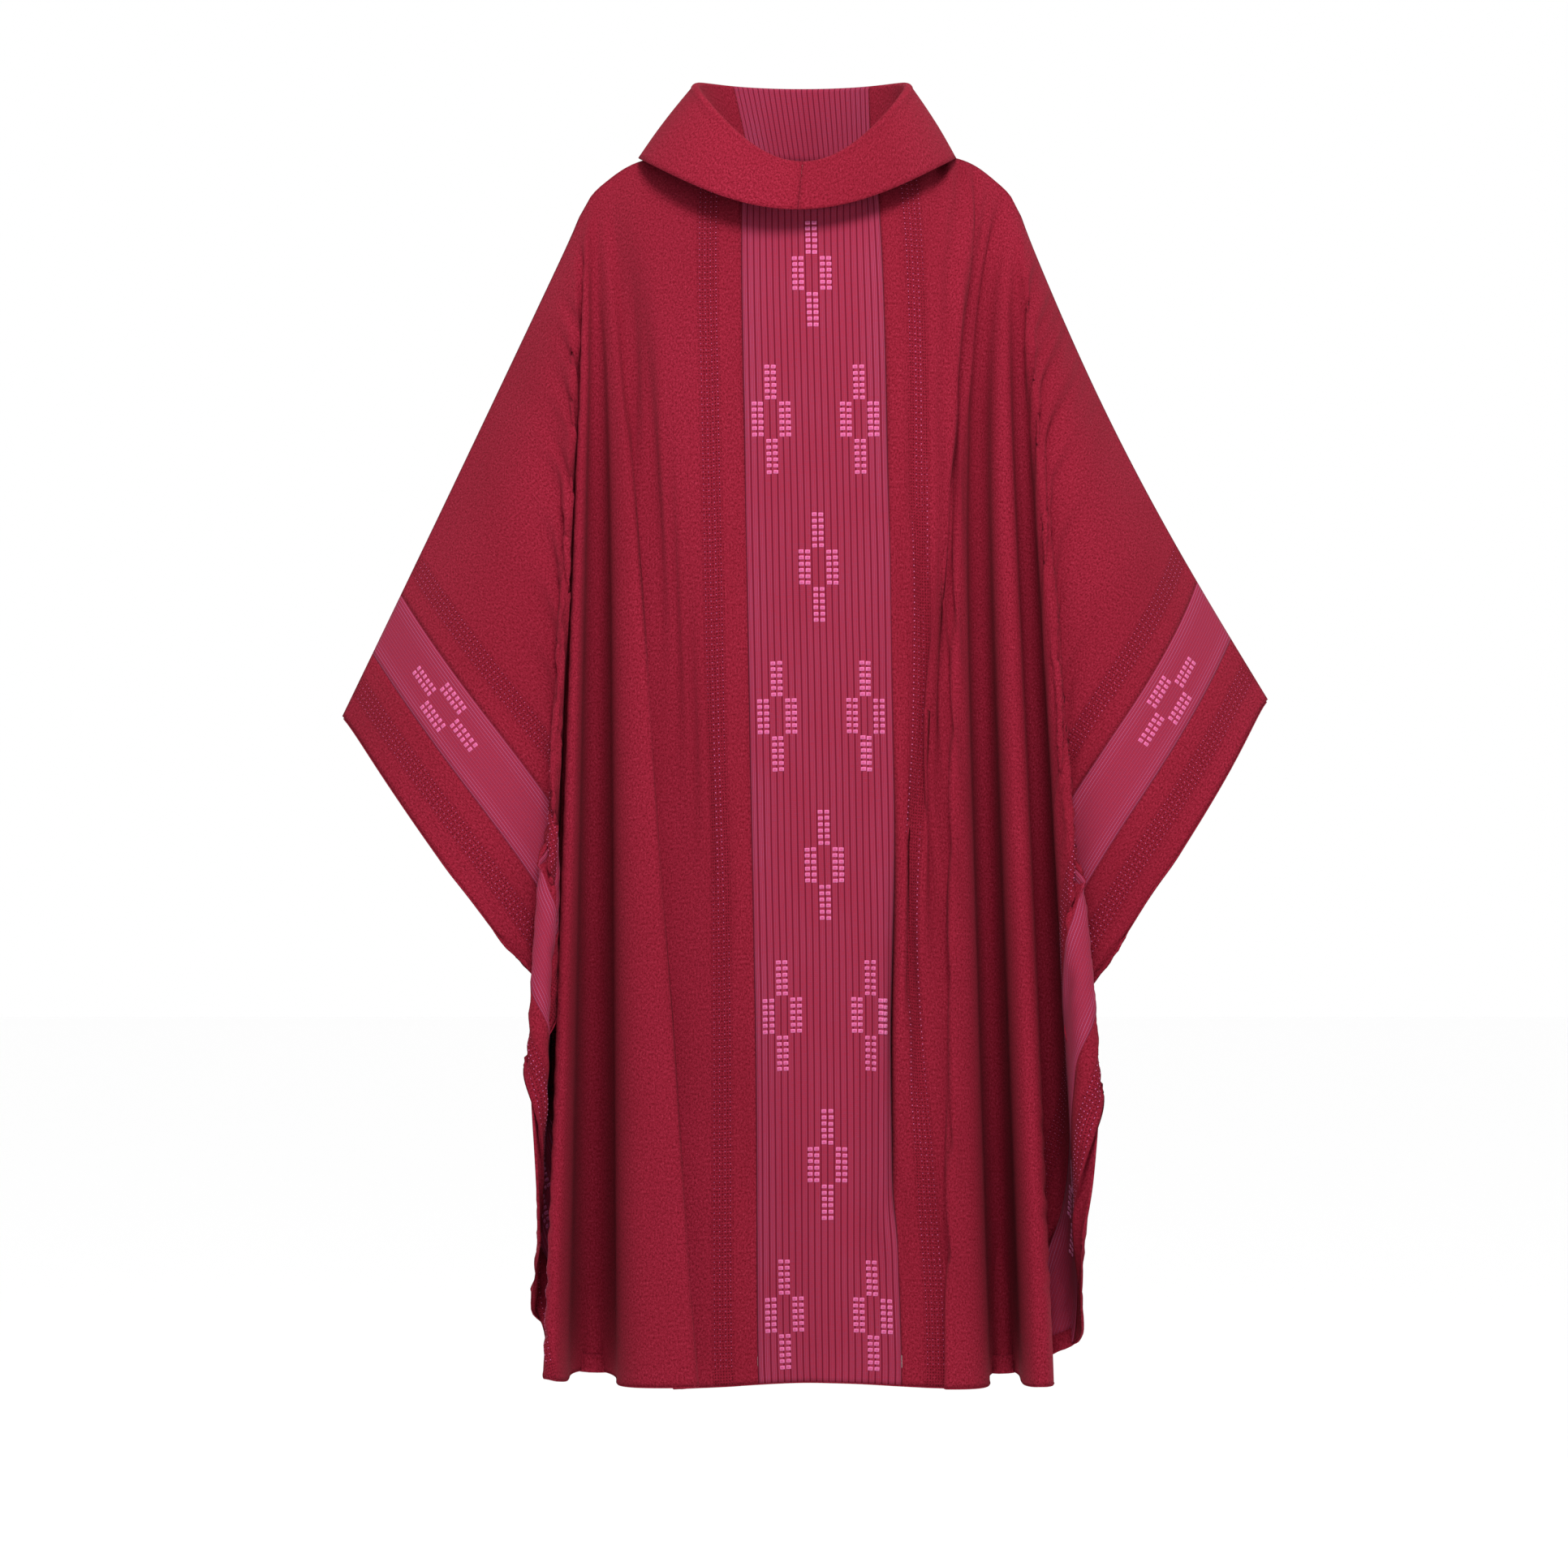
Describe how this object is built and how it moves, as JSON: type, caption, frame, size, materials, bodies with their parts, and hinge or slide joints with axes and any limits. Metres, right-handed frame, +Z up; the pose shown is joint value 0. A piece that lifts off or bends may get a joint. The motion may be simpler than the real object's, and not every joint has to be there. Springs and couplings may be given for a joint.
{
  "type": "chasuble",
  "caption": "Full red wool chasuble as worn, with a rolled collar, a pink woven centre column front and back, and woven bands along the wrist edges.",
  "frame": {"origin": "middle of the neck opening, on the level of the wearer's shoulders, where the garment rests on them", "axes": "+X to the viewer's right, +Y from the front to the back, +Z up; the front column faces -Y"},
  "size_m": [0.9928, 0.3606, 1.3894],
  "materials": {
    "wool_ground": "matt heathered red wool, fine twill",
    "column_weave": "red wool with fine pink and dark red warp stripes",
    "wrist_weave": "red wool with thin pink stripes",
    "motif_yarn": "soft pink floating yarn",
    "twill_tape": "dark red cotton twill tape",
    "canvas": "plain unbleached interlining",
    "sewing_thread": "red polyester thread",
    "label_satin": "blank off-white woven satin"
  },
  "bodies": {
    "garment": {"front_cloth_left": "wool_ground", "front_cloth_right": "wool_ground", "back_cloth_left": "wool_ground", "back_cloth_right": "wool_ground", "front_column": "column_weave", "back_column": "column_weave", "front_wrist_band_left": "wrist_weave", "front_wrist_band_right": "wrist_weave", "back_wrist_band_left": "wrist_weave", "back_wrist_band_right": "wrist_weave", "front_wrist_border_left": "wool_ground", "front_wrist_border_right": "wool_ground", "back_wrist_border_left": "wool_ground", "back_wrist_border_right": "wool_ground", "front_column_motifs": "motif_yarn", "back_column_motifs": "motif_yarn", "wrist_motifs_left": "motif_yarn", "wrist_motifs_right": "motif_yarn", "front_hem": "wool_ground", "back_hem": "wool_ground", "shoulder_tape_left": "twill_tape", "shoulder_tape_right": "twill_tape", "collar_left": "wool_ground", "collar_right": "wool_ground", "collar_back_band": "column_weave", "collar_interfacing": "canvas", "neck_binding": "twill_tape", "loop_bartacks": "sewing_thread", "label_seam": "label_satin"},
    "loop": {"hanging_loop": "twill_tape"},
    "label": {"care_label": "label_satin"}
  },
  "joints": [
    {"name": "loop_turn", "type": "hinge", "parent": "garment", "child": "loop", "pos_m": [0, 0.059, 0.002], "axis": [1, 0, 0], "range_deg": [-150, 0]},
    {"name": "label_turn", "type": "hinge", "parent": "garment", "child": "label", "pos_m": [0, 0.059, 0.002], "axis": [1, 0, 0], "range_deg": [-120, 0]}
  ]
}
